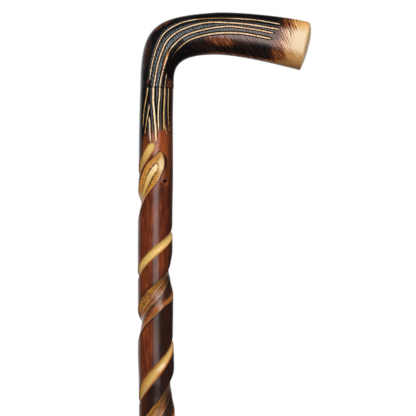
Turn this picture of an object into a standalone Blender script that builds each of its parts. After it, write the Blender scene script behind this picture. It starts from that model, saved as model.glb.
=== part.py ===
"""A carved hardwood walking cane: an L-shaped handle, a shaft with two carved spiral hollows,
the hidden dowel that joins them, and a rubber ferrule with a steel washer inside.

Metres. +Z runs up the shaft, +X points along the handle to its nose, and the origin is the
centre of the ferrule's foot, on the ground."""

import math

import bmesh
import bpy
import numpy as np
from mathutils import Vector
from mathutils.geometry import interpolate_bezier

MM = 0.001

# Overall sizes
OVERALL_HEIGHT = 914.2 * MM
HANDLE_RISE = 58.1 * MM
JOINT_Z = OVERALL_HEIGHT - HANDLE_RISE
GAP = 0.3 * MM

# Dowel between handle and shaft
DOWEL_RADIUS = 5.0 * MM
DOWEL_HALF_LENGTH = 30.0 * MM
DOWEL_CHAMFER = 1.2 * MM
DOWEL_FLUTES = 12
DOWEL_FLUTE_DEPTH = 0.45 * MM
DOWEL_POINTS_PER_FLUTE = 3
BORE_RADIUS = DOWEL_RADIUS + GAP
BORE_DEPTH = DOWEL_HALF_LENGTH + 0.8 * MM
BORE_SEGMENTS = 24

# Handle, seen from the side: Bezier points (x, z) from the joint, on the shaft's axis
BACK_OUTLINE = (
    ((-13.0, 0.0), (-13.0, 48.4), (-3.2, 55.3), (44.0, 57.9)),
    ((44.0, 57.9), (61.0, 58.8), (105.0, 53.6), (117.6, 49.2)),
)
BELLY_OUTLINE = (
    ((12.9, 0.0), (12.8, 13.0), (11.0, 26.0), (43.5, 26.0)),
    ((43.5, 26.0), (61.5, 26.0), (89.0, 18.9), (110.0, 13.3)),
)
HANDLE_STATIONS = (20, 13)
HANDLE_SIDES = 32
NECK_HALF_WIDTH = 12.9 * MM
NOSE_HALF_WIDTH = 15.2 * MM
NOSE_SQUARENESS = 2.35
NOSE_DOME = 2.7 * MM
NOSE_DOME_POWER = 2.5
NOSE_DOME_LEAN = 0.35

# Handle's rounded rim: (mm back from the end, share of full size), then its dome's rings
NOSE_RIM = ((1.0, 1.0), (0.4, 0.993), (0.0, 0.975))
NOSE_DOME_RINGS = (0.93, 0.8, 0.6, 0.3)

# Shaft: (height, radius) in millimetres
SHAFT_RADII = (
    (8.0, 10.3),
    (52.0, 10.35),
    (200.0, 11.6),
    (420.0, 13.1),
    (600.0, 13.85),
    (630.0, 13.85),
    (650.0, 14.0),
    (668.0, 13.5),
    (690.0, 13.7),
    (732.0, 13.5),
    (760.0, 13.35),
    (780.0, 13.4),
    (815.0, 13.2),
    (840.0, 12.95),
    (857.0, 12.85),
)
SHAFT_END_CHAMFER = 1.0 * MM

# How far the shaft's middle strays along X: (height, offset) in millimetres
SHAFT_BOW = (
    (60.0, 0.0),
    (400.0, 0.0),
    (540.0, 0.2),
    (610.0, -0.2),
    (632.0, -0.4),
    (650.0, -0.9),
    (668.0, -1.2),
    (690.0, -1.15),
    (732.0, -1.5),
    (760.0, -1.4),
    (790.0, -1.0),
    (830.0, -0.8),
    (857.0, -0.2),
)

# The two carved spiral hollows' edges: (height in mm, degrees round from the front). Degrees fall
# as a hollow winds down, by about 360 for each pitch, and count on past a full turn.
PITCH = 91.0
NARROW_UPPER = (
    (814, -5),
    (810, -28),
    (801, -58),
    (792, -94),
    (755, -262),
    (747, -285),
    (736, -350),
    (725, -400),
    (719, -425),
    (711.5, -464),
    (669, -622),
    (661, -648),
    (645, -714),
    (630, -770),
    (619, -802),
)
NARROW_LOWER = (
    (814, -5),
    (811, 1),
    (803, -18),
    (792, -54),
    (786, -74),
    (746, -240),
    (740, -281),
    (732, -328),
    (720, -387),
    (662, -600),
    (653, -646),
    (637, -705),
    (620, -765),
)
BROAD_UPPER = (
    (807.1, 20),
    (806.3, 14),
    (804.8, 8),
    (802.5, -2),
    (798, -24),
    (784, -62),
    (726.5, -282),
    (718, -304),
    (708, -350),
    (698, -396),
    (688, -432),
    (633.5, -657),
    (608, -748),
)
BROAD_LOWER = (
    (807.1, 20),
    (806.3, 26.5),
    (804.8, 32),
    (802.5, 35.5),
    (798, 37),
    (787, 20),
    (773, -24),
    (754, -78),
    (694, -284),
    (689, -322),
    (677, -378),
    (602, -648),
    (592, -706),
)

# Below its last point above, a hollow winds on at the pitch and closes: (height of its foot tip,
# height that it takes to close)
NARROW_END = (232, 22)
BROAD_END = (218, 44)

# Depths across a hollow, from its upper edge to its lower one: (share of width, share of depth)
NARROW_DEPTH = 1.9 * MM
NARROW_SHAPE = ((0.0, 0.0), (0.25, 0.75), (0.5, 1.0), (0.75, 0.75), (1.0, 0.0))
NARROW_FULL_DEGREES = 36
BROAD_DEPTH = 3.4 * MM
BROAD_SHAPE = (
    (0.0, 0.0),
    (0.09, 0.6),
    (0.23, 0.87),
    (0.36, 1.0),
    (0.52, 0.9),
    (0.77, 0.54),
    (1.0, 0.0),
)
BROAD_FULL_DEGREES = 112
SHALLOWING_POWER = 0.6

# Shaft's lengthwise edges: how many across the ridge after each hollow, and the least width that a
# hollow's own ones draw in to where it has yet to open
VINE_COLUMNS = 4
BACK_COLUMNS = 12
SHUT_DEGREES = 11

# Shaft's sections: heights in its plain foot, then runs of them from a height up to the next run,
# with the step between sections, in millimetres
FOOT_HEIGHTS = (52, 110, 165)
NECK_FOOT = NARROW_UPPER[0][0]
SECTION_RUNS = (
    (BROAD_END[0], 4.4),
    (628, 3.2),
    (772, 2.2),
    (803, 0.82),
    (BROAD_UPPER[0][0], 2.3),
    (NECK_FOOT, 6.0),
)

# Ferrule: (radius, height) in millimetres, from the bore's floor round to the foot's centre
FERRULE_BORE_RADIUS = 10.65
FERRULE_FLOOR = 7.2
FERRULE_PROFILE = (
    (0.0, FERRULE_FLOOR),
    (FERRULE_BORE_RADIUS, FERRULE_FLOOR),
    (FERRULE_BORE_RADIUS, 45.2),
    (11.2, 46.0),
    (12.6, 46.0),
    (13.3, 45.2),
    (13.3, 41.6),
    (12.8, 41.0),
    (13.0, 38.0),
    (14.0, 20.0),
    (14.6, 13.0),
    (15.8, 9.6),
    (17.7, 7.6),
    (18.6, 6.4),
    (18.8, 5.0),
    (18.8, 1.0),
    (18.2, 0.0),
    (15.8, 0.0),
    (15.3, 2.0),
    (13.7, 2.0),
    (13.2, 0.0),
    (10.8, 0.0),
    (10.3, 2.0),
    (8.7, 2.0),
    (8.2, 0.0),
    (0.0, 0.0),
)
FERRULE_STEPS = 40
WASHER_RADIUS = 9.8 * MM
WASHER_HOLE_RADIUS = 3.0 * MM
WASHER_THICKNESS = 1.6 * MM
WASHER_Z = FERRULE_FLOOR * MM + GAP
SHAFT_FOOT_Z = WASHER_Z + WASHER_THICKNESS + GAP

BEZIER_STEPS = 200
CUTTER_OVERRUN = 5 * MM
MERGE_DISTANCE = 0.05 * MM


def clear_scene():
    for obj in list(bpy.data.objects):
        bpy.data.objects.remove(obj)


def new_collection(name):
    collection = bpy.data.collections.new(name)
    bpy.context.scene.collection.children.link(collection)
    return collection


def new_material(name, colour, roughness, metallic=0.0):
    material = bpy.data.materials.new(name)
    material.use_nodes = True
    shader = material.node_tree.nodes["Principled BSDF"]
    shader.inputs["Base Color"].default_value = (*colour, 1.0)
    shader.inputs["Roughness"].default_value = roughness
    shader.inputs["Metallic"].default_value = metallic
    return material


def object_from_bmesh(bm, name, collection, material=None, smooth_degrees=35):
    mesh = bpy.data.meshes.new(name)
    bm.to_mesh(mesh)
    bm.free()
    mesh.shade_smooth()
    mesh.set_sharp_from_angle(angle=math.radians(smooth_degrees))
    if material:
        mesh.materials.append(material)
    obj = bpy.data.objects.new(name, mesh)
    collection.objects.link(obj)
    return obj


def cut(obj, cutter):
    """Takes the cutter's shape out of the object."""
    modifier = obj.modifiers.new("cut_" + cutter.name, "BOOLEAN")
    modifier.operation = "DIFFERENCE"
    modifier.object = cutter


def loft(sections, name, collection, material):
    """A closed skin over a run of sections with as many points each. Its triangles' long sides
    run against the twist, which keeps a twisted run round."""
    bm = bmesh.new()
    rings = [[bm.verts.new(point) for point in section] for section in sections]
    sides = len(rings[0])
    for lower, upper in zip(rings[:-1], rings[1:]):
        for i in range(sides):
            j = (i + 1) % sides
            bm.faces.new((lower[i], lower[j], upper[i]))
            bm.faces.new((lower[j], upper[j], upper[i]))
    bm.faces.new(reversed(rings[0]))
    bm.faces.new(rings[-1])
    bmesh.ops.recalc_face_normals(bm, faces=bm.faces)
    return object_from_bmesh(bm, name, collection, material)


def smooth_curve(knots, at):
    """A curve through (x, y) knots that never overshoots them, read at the values given.
    Past either end it stays level."""
    x, y = np.array(sorted(knots), float).T
    run = np.diff(x)
    slope = np.diff(y) / run
    tangent = np.zeros_like(x)
    same_way = slope[:-1] * slope[1:] > 0
    weights = 3 * (run[:-1] + run[1:])
    before = np.where(same_way, slope[:-1], 1)
    after = np.where(same_way, slope[1:], 1)
    harmonic = weights / ((2 * run[1:] + run[:-1]) / before + (run[1:] + 2 * run[:-1]) / after)
    tangent[1:-1] = np.where(same_way, harmonic, 0)
    tangent[0], tangent[-1] = slope[0], slope[-1]
    at = np.clip(np.asarray(at, float), x[0], x[-1])
    i = np.clip(np.searchsorted(x, at) - 1, 0, len(run) - 1)
    t = (at - x[i]) / run[i]
    h = run[i]
    return (
        (1 + 2 * t) * (1 - t) ** 2 * y[i]
        + t * (1 - t) ** 2 * h * tangent[i]
        + t**2 * (3 - 2 * t) * y[i + 1]
        + t**2 * (t - 1) * h * tangent[i + 1]
    )


# Handle


def along_bezier(points, count):
    """Points evenly spaced along one Bezier stretch, both ends included."""
    dense = [Vector((x, 0, z)) * MM for x, z in points]
    dense = interpolate_bezier(*dense, BEZIER_STEPS)
    steps = [(b - a).length for a, b in zip(dense[:-1], dense[1:])]
    travelled = np.concatenate([[0], np.cumsum(steps)])
    wanted = np.linspace(0, travelled[-1], count)
    xs = np.interp(wanted, travelled, [p.x for p in dense])
    zs = np.interp(wanted, travelled, [p.z for p in dense])
    return [Vector((x, 0, z)) for x, z in zip(xs, zs)]


def handle_rungs():
    """Pairs of points, on the back and the belly, that each section of the handle spans."""
    rungs = []
    for back, belly, count in zip(BACK_OUTLINE, BELLY_OUTLINE, HANDLE_STATIONS):
        pairs = list(zip(along_bezier(back, count), along_bezier(belly, count)))
        rungs += pairs if not rungs else pairs[1:]
    return rungs


def oval(centre, half_height, half_width, squareness):
    """Points round a superellipse whose height runs along one vector and width along Y."""
    points = []
    for i in range(HANDLE_SIDES):
        angle = 2 * math.pi * i / HANDLE_SIDES
        c, s = math.cos(angle), math.sin(angle)
        up = math.copysign(abs(c) ** (2 / squareness), c)
        side = math.copysign(abs(s) ** (2 / squareness), s)
        points.append(centre + half_height * up + Vector((0, half_width * side, 0)))
    return points


def handle_sections():
    rungs = handle_rungs()
    foot = Vector((0, 0, JOINT_Z + GAP / 2))
    sections = []
    last = len(rungs) - 1
    for i, (back, belly) in enumerate(rungs):
        share = i / last
        ease = share * share * (3 - 2 * share)
        centre = foot + (back + belly) / 2
        half_height = (back - belly) / 2
        half_width = NECK_HALF_WIDTH + (NOSE_HALF_WIDTH - NECK_HALF_WIDTH) * ease
        squareness = 2 + (NOSE_SQUARENESS - 2) * ease
        if i < last:
            sections.append(oval(centre, half_height, half_width, squareness))
    out = Vector((half_height.z, 0, -half_height.x)).normalized()
    rings = [(-back * MM, scale) for back, scale in NOSE_RIM]
    rings += [(NOSE_DOME * (1 - scale**NOSE_DOME_POWER), scale) for scale in NOSE_DOME_RINGS]
    for rise, scale in rings:
        leaning = (half_height + out * rise * NOSE_DOME_LEAN) * scale
        sections.append(oval(centre + out * rise, leaning, half_width * scale, squareness))
    return sections


def bore_cutter(name, foot_z, top_z, collection):
    bm = bmesh.new()
    bmesh.ops.create_cone(
        bm,
        cap_ends=True,
        segments=BORE_SEGMENTS,
        radius1=BORE_RADIUS,
        radius2=BORE_RADIUS,
        depth=top_z - foot_z,
    )
    cutter = object_from_bmesh(bm, name, collection)
    cutter.location = (0, 0, (foot_z + top_z) / 2)
    cutter.hide_render = True
    cutter.display_type = "WIRE"
    return cutter


def build_handle(parts, cutters):
    scorched = new_material("scorched_wood", (0.045, 0.022, 0.014), 0.3)
    handle = loft(handle_sections(), "handle", parts, scorched)
    bore = bore_cutter("handle_bore", JOINT_Z - CUTTER_OVERRUN, JOINT_Z + BORE_DEPTH, cutters)
    cut(handle, bore)


# Shaft


def wound_on(knots, end, apart):
    """A hollow's edge, wound on down from its last point to where it closes. The tip lies half the
    hollow's width away, so that both edges meet there."""
    lowest, degrees = knots[-1]
    foot, closing = end
    heights = [*np.arange(lowest - PITCH / 2, foot + closing, -PITCH / 2), foot + closing]
    turns = [(height, degrees - (lowest - height) * 360 / PITCH) for height in heights]
    tip = degrees - (lowest - foot) * 360 / PITCH + apart / 2
    return (*knots, *turns, (foot, tip))


def hollow_edges(upper, lower, end, z):
    """Degrees round the shaft of a hollow's two edges at a height."""
    between = (upper[-1][0] - lower[-1][0]) * 360 / PITCH
    apart = lower[-1][1] - upper[-1][1] + between
    above = smooth_curve(wound_on(upper, end, apart), z / MM)
    below = smooth_curve(wound_on(lower, end, -apart), z / MM)
    return float(above), float(below)


def hollow_columns(edges, shape):
    """Places of a hollow's lengthwise edges: its own where it is open, drawn in where it is not."""
    upper, lower = edges
    middle = (upper + lower) / 2
    half = max(lower - upper, SHUT_DEGREES) / 2
    return [middle + half * (2 * share - 1) for share, _ in shape]


def hollow_depth(places, edges, shape, full_degrees, depth):
    """Depth of a hollow at places round the shaft. It is shallower where it is narrower."""
    upper, lower = edges
    width = lower - upper
    if width <= 0:
        return np.zeros_like(places)
    shares = ((places - upper) % 360) / width
    across = np.interp(shares, *np.transpose(shape), right=0)
    return across * depth * min(1, width / full_degrees) ** SHALLOWING_POWER


def shaft_columns(narrow, broad):
    """Places round one section, in degrees, of the shaft's lengthwise edges. They follow the two
    hollows' edges, so each ridge and hollow stays sharp all the way down."""
    first = hollow_columns(narrow, NARROW_SHAPE)
    second = hollow_columns(broad, BROAD_SHAPE)
    while second[0] < first[-1]:
        second = [place + 360 for place in second]
    vine = np.linspace(first[-1], second[0], VINE_COLUMNS, endpoint=False)[1:]
    back = np.linspace(second[-1], first[0] + 360, BACK_COLUMNS, endpoint=False)[1:]
    return np.concatenate([first, vine, second, back])


def evened_out(places, share):
    """Places moved some of the way to an even spread."""
    even = np.linspace(0, 360, len(places), endpoint=False)
    even += np.mean(places) - np.mean(even)
    return places + (even - places) * share


def shaft_section(z):
    narrow = hollow_edges(NARROW_UPPER, NARROW_LOWER, NARROW_END, z)
    broad = hollow_edges(BROAD_UPPER, BROAD_LOWER, BROAD_END, z)
    up_neck = np.clip((z / MM - NECK_FOOT) / (JOINT_Z / MM - NECK_FOOT), 0, 1)
    places = evened_out(shaft_columns(narrow, broad), up_neck)
    radius = smooth_curve(SHAFT_RADII, z / MM) * MM
    radius -= hollow_depth(places, narrow, NARROW_SHAPE, NARROW_FULL_DEGREES, NARROW_DEPTH)
    radius -= hollow_depth(places, broad, BROAD_SHAPE, BROAD_FULL_DEGREES, BROAD_DEPTH)
    bow = smooth_curve(SHAFT_BOW, z / MM) * MM
    angles = np.radians(places)
    return [Vector((bow + r * math.sin(a), -r * math.cos(a), z)) for r, a in zip(radius, angles)]


def shaft_heights():
    """Heights of the sections: close at the hollows' tips, wider along the twist and few where the
    shaft is plain."""
    heights = [(SHAFT_FOOT_Z + SHAFT_END_CHAMFER) / MM, *FOOT_HEIGHTS]
    top = (JOINT_Z - GAP / 2) / MM
    run_ends = [foot for foot, _ in SECTION_RUNS[1:]] + [top]
    for (foot, step), end in zip(SECTION_RUNS, run_ends):
        count = round((end - foot) / step)
        heights += list(np.linspace(foot, end, count, endpoint=False))
    return np.array([*heights, top]) * MM


def build_shaft(parts, cutters):
    stained = new_material("stained_wood", (0.13, 0.035, 0.016), 0.25)
    sections = [shaft_section(z) for z in shaft_heights()]
    end_share = 1 - SHAFT_END_CHAMFER / (SHAFT_RADII[0][1] * MM)
    end = [Vector((p.x * end_share, p.y * end_share, SHAFT_FOOT_Z)) for p in sections[0]]
    shaft = loft([end, *sections], "shaft", parts, stained)
    bore = bore_cutter("shaft_bore", JOINT_Z - BORE_DEPTH, JOINT_Z + CUTTER_OVERRUN, cutters)
    cut(shaft, bore)


# Dowel


def build_dowel(parts):
    """A fluted hardwood dowel, chamfered at both ends so that it finds its holes."""
    beech = new_material("dowel_wood", (0.62, 0.43, 0.25), 0.6)
    bm = bmesh.new()
    points = DOWEL_FLUTES * DOWEL_POINTS_PER_FLUTE
    bmesh.ops.create_circle(bm, cap_ends=True, segments=points, radius=DOWEL_RADIUS)
    for vertex in list(bm.verts)[::DOWEL_POINTS_PER_FLUTE]:
        vertex.co *= 1 - DOWEL_FLUTE_DEPTH / DOWEL_RADIUS
    bmesh.ops.translate(bm, verts=bm.verts, vec=(0, 0, JOINT_Z - DOWEL_HALF_LENGTH))
    grown = bmesh.ops.extrude_face_region(bm, geom=bm.faces[:])["geom"]
    upper = [element for element in grown if isinstance(element, bmesh.types.BMVert)]
    bmesh.ops.translate(bm, verts=upper, vec=(0, 0, 2 * DOWEL_HALF_LENGTH))
    bmesh.ops.recalc_face_normals(bm, faces=bm.faces)
    dowel = object_from_bmesh(bm, "handle_dowel", parts, beech)
    chamfer = dowel.modifiers.new("chamfer", "BEVEL")
    chamfer.width = DOWEL_CHAMFER
    chamfer.segments = 1
    chamfer.limit_method = "ANGLE"
    chamfer.angle_limit = math.radians(60)


# Ferrule and its washer


def turn(profile, name, parts, material):
    """Turns a profile of (radius, height) in metres about the shaft's axis."""
    bm = bmesh.new()
    points = [bm.verts.new((radius, 0, height)) for radius, height in profile]
    for a, b in zip(points[:-1], points[1:]):
        bm.edges.new((a, b))
    turned = object_from_bmesh(bm, name, parts, material)
    screw = turned.modifiers.new("turned", "SCREW")
    screw.steps = FERRULE_STEPS
    screw.render_steps = FERRULE_STEPS
    screw.use_merge_vertices = True
    screw.merge_threshold = MERGE_DISTANCE


def build_ferrule(parts):
    rubber = new_material("ferrule_rubber", (0.02, 0.02, 0.021), 0.7)
    turn([(r * MM, z * MM) for r, z in FERRULE_PROFILE], "ferrule", parts, rubber)


def build_washer(parts):
    steel = new_material("washer_steel", (0.6, 0.6, 0.6), 0.35, metallic=1.0)
    top = WASHER_Z + WASHER_THICKNESS
    hole = [(WASHER_HOLE_RADIUS, WASHER_Z), (WASHER_HOLE_RADIUS, top)]
    rim = [(WASHER_RADIUS, top), (WASHER_RADIUS, WASHER_Z)]
    turn([*hole, *rim, hole[0]], "ferrule_washer", parts, steel)


def main():
    clear_scene()
    parts = new_collection("walking_cane")
    cutters = new_collection("cutters")
    build_handle(parts, cutters)
    build_shaft(parts, cutters)
    build_dowel(parts)
    build_ferrule(parts)
    build_washer(parts)


main()
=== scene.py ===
# Looks for a carved hardwood walking cane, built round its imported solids.
# Metres, with +Z up the shaft and +X along the handle to its nose; the photograph looks along +Y.
import math

import bmesh
import bpy
import numpy as np
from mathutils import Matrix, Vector
from mathutils.geometry import interpolate_bezier
from mathutils.kdtree import KDTree


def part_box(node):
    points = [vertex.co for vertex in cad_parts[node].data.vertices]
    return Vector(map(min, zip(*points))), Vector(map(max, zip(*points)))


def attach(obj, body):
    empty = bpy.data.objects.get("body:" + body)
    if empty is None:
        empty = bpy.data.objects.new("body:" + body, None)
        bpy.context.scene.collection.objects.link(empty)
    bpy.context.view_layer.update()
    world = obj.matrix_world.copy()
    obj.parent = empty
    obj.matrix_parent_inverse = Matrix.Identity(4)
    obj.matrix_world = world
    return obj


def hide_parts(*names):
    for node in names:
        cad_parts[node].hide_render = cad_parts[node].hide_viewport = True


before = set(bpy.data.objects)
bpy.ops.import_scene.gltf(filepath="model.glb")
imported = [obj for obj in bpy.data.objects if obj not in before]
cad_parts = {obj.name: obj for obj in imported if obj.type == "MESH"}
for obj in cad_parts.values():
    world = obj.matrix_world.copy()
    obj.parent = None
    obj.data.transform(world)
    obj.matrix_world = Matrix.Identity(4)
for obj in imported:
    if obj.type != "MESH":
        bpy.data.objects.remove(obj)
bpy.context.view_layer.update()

# Shaft
# One stick of stained hardwood, turned to a slow taper and carved by hand with two spiral hollows,
# a narrow gouged one and a broad one cut in four facets. The neck is scorched black and lined with
# a V tool, and the whole is lacquered. It is glued to the handle over a dowel.
MM = 0.001
shaft_foot, shaft_top = (corner.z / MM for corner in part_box("shaft"))
PITCH = 91
BORE_RADIUS = 5.3
BORE_DEPTH = 30.8

# (height, radius) and (height, how far the middle strays along X), in millimetres
SHAFT_RADII = (
    (8, 10.3), (52, 10.35), (200, 11.6), (420, 13.1), (600, 13.85), (630, 13.85),
    (650, 14), (668, 13.5), (690, 13.7), (732, 13.5), (760, 13.35), (780, 13.4),
    (815, 13.2), (840, 12.95), (857, 12.85),
)
SHAFT_BOW = (
    (60, 0), (400, 0), (540, 0.2), (610, -0.2), (632, -0.4), (650, -0.9),
    (668, -1.2), (690, -1.15), (732, -1.5), (760, -1.4), (790, -1), (830, -0.8),
    (857, -0.2),
)

# The hollows' edges: (height in mm, degrees round from the front). Degrees fall as a hollow winds
# down, by about 360 for each pitch, and count on past a full turn.
NARROW_UPPER = (
    (814, -8), (813, -17), (810, -28), (801, -58), (792, -94), (755, -262), (747, -285),
    (736, -350), (725, -400), (719, -425), (711.5, -464), (669, -622), (661, -648), (645, -714),
    (630, -770), (619, -802),
)
NARROW_LOWER = (
    (814, -8), (813, 3), (811, 4), (803, -16), (792, -54), (786, -74), (746, -240), (740, -281),
    (732, -328), (720, -387), (662, -600), (653, -646), (637, -705), (620, -765),
)
BROAD_UPPER = (
    (807.1, 20), (806.3, 14), (804.8, 8), (802.5, -2), (798, -24), (784, -62), (727, -282),
    (717.2, -304), (707.6, -350), (698, -396), (688, -432), (633.6, -657), (607.5, -748),
)
BROAD_LOWER = (
    (807.1, 20), (806.3, 26.5), (804.8, 32), (802.5, 35.5), (798, 37), (787, 20), (773, -24),
    (754, -78), (694, -284), (689, -322), (677, -378), (602, -648), (592, -706),
)

# Where a hollow ends below: (height of its tip, height that it takes to close)
NARROW_END = (232, 22)
BROAD_END = (218, 44)

# Where the broad hollow's three inner arrises lie, as shares of its width, at some heights. The
# first two bound the eye's inner lens.
BROAD_ARRISES = (
    (700, (0.23, 0.51, 0.76)), (750, (0.23, 0.52, 0.77)), (773, (0.5, 0.74, 0.78)),
    (780, (0.37, 0.64, 0.68)), (788, (0.25, 0.61, 0.65)), (793, (0.32, 0.7, 0.73)),
    (796, (0.42, 0.68, 0.71)), (798, (0.49, 0.53, 0.56)),
)

# Depth across a hollow: (share of width, or facet counted from the upper edge; share of depth)
NARROW_DEPTH = 1.9
NARROW_SHAPE = (
    (0, 0), (0.06, 0.3), (0.2, 0.7), (0.36, 0.94), (0.5, 1), (0.64, 0.94), (0.8, 0.7),
    (0.94, 0.3), (1, 0),
)
NARROW_FULL_DEGREES = 36
BROAD_DEPTH = 3.4
BROAD_SHAPE = (
    (0, 0), (0.2, 0.36), (0.5, 0.7), (0.8, 0.88), (0.94, 0.9), (1, 0.86), (1.08, 0.93),
    (1.4, 1), (1.9, 0.97), (2, 0.89), (2.06, 0.93), (2.3, 0.8), (2.6, 0.64), (2.9, 0.53),
    (3, 0.56), (3.06, 0.52), (3.5, 0.27), (4, 0),
)
BROAD_FULL_DEGREES = 112
SHALLOWING_POWER = 0.6
SHUT_DEGREES = 11

# The sheet that is rolled up into the shaft: columns across the narrow hollow, the ridge after it,
# the broad hollow's facets and the ridge behind
SHAFT_COLUMNS = (22, 28, 14, 15, 14, 13, 54)
NECK_CUTS = 2
NECK_FINE_FROM = 806

# Lines cut down the neck with a V tool: (width, then each knot's height in mm and degrees round)
NECK_LINES = (
    (0.85, ((857, -26.5), (851, -30), (844, -37), (838, -42.5), (830, -45.5), (825, -48))),
    (0.75, ((843.5, -19), (840, -20.5), (836, -24), (831, -28), (825, -33), (818.6, -37.5))),
    (1, ((834, -18.2), (827, -16), (821, -14.5), (813.5, -11.5))),
    (1.55, ((857, -5.4), (848, -5.2), (843, -3.8), (836.5, 0), (830.5, 2.5), (825, 5), (814, 7.3))),
    (1.1, ((857, 17.5), (848, 17), (843, 14.8), (835.6, 14.2), (829.4, 14.9), (822.5, 16))),
    (1, ((857, 36.5), (848.6, 36.3), (842, 35), (836, 34.5), (829, 35.3), (823, 35))),
    (1, ((829, 35.5), (825, 42), (821, 47.5), (819, 51))),
    (0.75, ((857, 53.5), (846.6, 53.5), (840, 54), (834, 55), (828, 58), (820.5, 61))),
)
LINE_DEPTH = 1
LINE_HALF_WIDTH = 1.6
LINE_RUN_OUT = 3.5
LINE_STEP = 0.25
LINE_REACH = 6.0
FAR_SIDE_TURN = 7


def smooth_curve(knots, at):
    """A curve through (x, y) knots that never overshoots them, read at the values given.
    Past either end it stays level."""
    knots = np.array(knots, float)
    x, y = knots[np.argsort(knots[:, 0])].T
    run = np.diff(x)
    slope = np.diff(y) / run
    tangent = np.zeros_like(x)
    same_way = slope[:-1] * slope[1:] > 0
    weights = 3 * (run[:-1] + run[1:])
    before = np.where(same_way, slope[:-1], 1)
    after = np.where(same_way, slope[1:], 1)
    harmonic = weights / ((2 * run[1:] + run[:-1]) / before + (run[1:] + 2 * run[:-1]) / after)
    tangent[1:-1] = np.where(same_way, harmonic, 0)
    tangent[0], tangent[-1] = slope[0], slope[-1]
    at = np.clip(np.asarray(at, float), x[0], x[-1])
    i = np.clip(np.searchsorted(x, at) - 1, 0, len(run) - 1)
    t = (at - x[i]) / run[i]
    h = run[i]
    return (
        (1 + 2 * t) * (1 - t) ** 2 * y[i]
        + t * (1 - t) ** 2 * h * tangent[i]
        + t**2 * (3 - 2 * t) * y[i + 1]
        + t**2 * (t - 1) * h * tangent[i + 1]
    )


def wound_on(knots, end, apart):
    """A hollow's edge, wound on down from its last point to where it closes."""
    lowest, degrees = knots[-1]
    foot, closing = end
    heights = [*np.arange(lowest - PITCH / 2, foot + closing, -PITCH / 2), foot + closing]
    turns = [(height, degrees - (lowest - height) * 360 / PITCH) for height in heights]
    tip = degrees - (lowest - foot) * 360 / PITCH + apart / 2
    return (*knots, *turns, (foot, tip))


def hollow_edges(upper, lower, end, heights):
    """Degrees round the shaft of a hollow's two edges at each height."""
    between = (upper[-1][0] - lower[-1][0]) * 360 / PITCH
    apart = lower[-1][1] - upper[-1][1] + between
    above = smooth_curve(wound_on(upper, end, apart), heights)
    below = smooth_curve(wound_on(lower, end, -apart), heights)
    return above, below


def stretched(values, marks, onto):
    """Values read off a scale whose marks, and what they stand for, may differ at each point."""
    found = np.zeros_like(values)
    for low, high, start, stop in zip(marks[:-1], marks[1:], onto[:-1], onto[1:]):
        share = (values - low) / np.maximum(high - low, 1e-9)
        found = np.where(values >= low, start + (stop - start) * np.clip(share, 0, 1), found)
    return found


def flat_sheet(columns, rows):
    """A flat sheet of unit squares, to be cut finer where it is carved and then rolled up."""
    bm = bmesh.new()
    bmesh.ops.create_grid(bm, x_segments=columns, y_segments=rows, size=0.5)
    bmesh.ops.translate(bm, verts=bm.verts, vec=(0.5, 0.5, 0))
    bmesh.ops.scale(bm, verts=bm.verts, vec=(columns, rows, 1))
    return bm


def cut_finer_across(bm, first_row, cuts):
    """Cuts a sheet's squares finer across, from one row up."""
    level = [e for e in bm.edges if abs(e.verts[0].co.y - e.verts[1].co.y) < 0.5]
    above = [e for e in level if e.verts[0].co.y > first_row - 0.5]
    bmesh.ops.subdivide_edges(bm, edges=above, cuts=cuts, use_grid_fill=True)


def sheet_places(bm):
    """Column and row of each of a sheet's points."""
    places = np.array([vertex.co[:2] for vertex in bm.verts])
    return places[:, 0], np.round(places[:, 1]).astype(int)


def in_scene(name, data):
    """An object with its mesh, lamp or camera, put in the scene."""
    made = bpy.data.objects.new(name, data)
    bpy.context.scene.collection.objects.link(made)
    return made


def finished(bm, mesh, weld, sharp):
    """Welds a shape's points that are closer than so many millimetres, closes it, and smooths it
    but for edges sharper than so many degrees."""
    bmesh.ops.remove_doubles(bm, verts=bm.verts, dist=weld * MM)
    open_edges = [edge for edge in bm.edges if edge.is_boundary]
    bmesh.ops.holes_fill(bm, edges=open_edges, sides=0)
    bmesh.ops.recalc_face_normals(bm, faces=bm.faces)
    bm.to_mesh(mesh)
    bm.free()
    mesh.shade_smooth()
    mesh.set_sharp_from_angle(angle=math.radians(sharp))
    return in_scene(mesh.name, mesh)


def rolled_up(bm, name, points, marks):
    """Rolls a sheet up: its points take their places, with their marks kept as attributes, the
    seam is welded and the ends are closed."""
    mesh = bpy.data.meshes.new(name)
    bm.to_mesh(mesh)
    mesh.vertices.foreach_set("co", np.asarray(points, np.float32).ravel() * MM)
    for label, values in marks.items():
        attribute = mesh.attributes.new(label, "FLOAT", "POINT")
        attribute.data.foreach_set("value", values.astype(np.float32))
    bm.clear()
    bm.from_mesh(mesh)
    return finished(bm, mesh, weld=0.001, sharp=50)


def search_tree(points):
    tree = KDTree(len(points))
    for i, point in enumerate(points):
        tree.insert(point, i)
    tree.balance()
    return tree


def run_out(count, at_start):
    """Shares of full width along a line that thins out at its end and over its first stretch."""
    along = np.arange(count) * LINE_STEP
    ends = np.minimum((along + LINE_STEP) / (at_start + LINE_STEP), along[::-1] / LINE_RUN_OUT)
    return np.clip(ends, 0.05, 1) ** 0.5


def line_distances(points, carved, lines):
    """Distance from each point of the carved part to the nearest line, as if that line had full
    width. Farther off than LINE_REACH, and on the rest of the piece, it stays at that."""
    tree = search_tree(np.concatenate([line for line, _ in lines]))
    widths = np.concatenate([width for _, width in lines])
    found = np.full(len(points), LINE_REACH)
    for i in np.flatnonzero(carved):
        _, nearest, distance = tree.find(points[i])
        if distance < LINE_REACH:
            found[i] = min(LINE_REACH, distance / widths[nearest])
    return found


def line_depth(distances):
    """Depth of a V cut whose shoulders are rounded over."""
    return LINE_DEPTH * np.clip(1 - distances / LINE_HALF_WIDTH, 0, 1) ** 1.4


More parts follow.
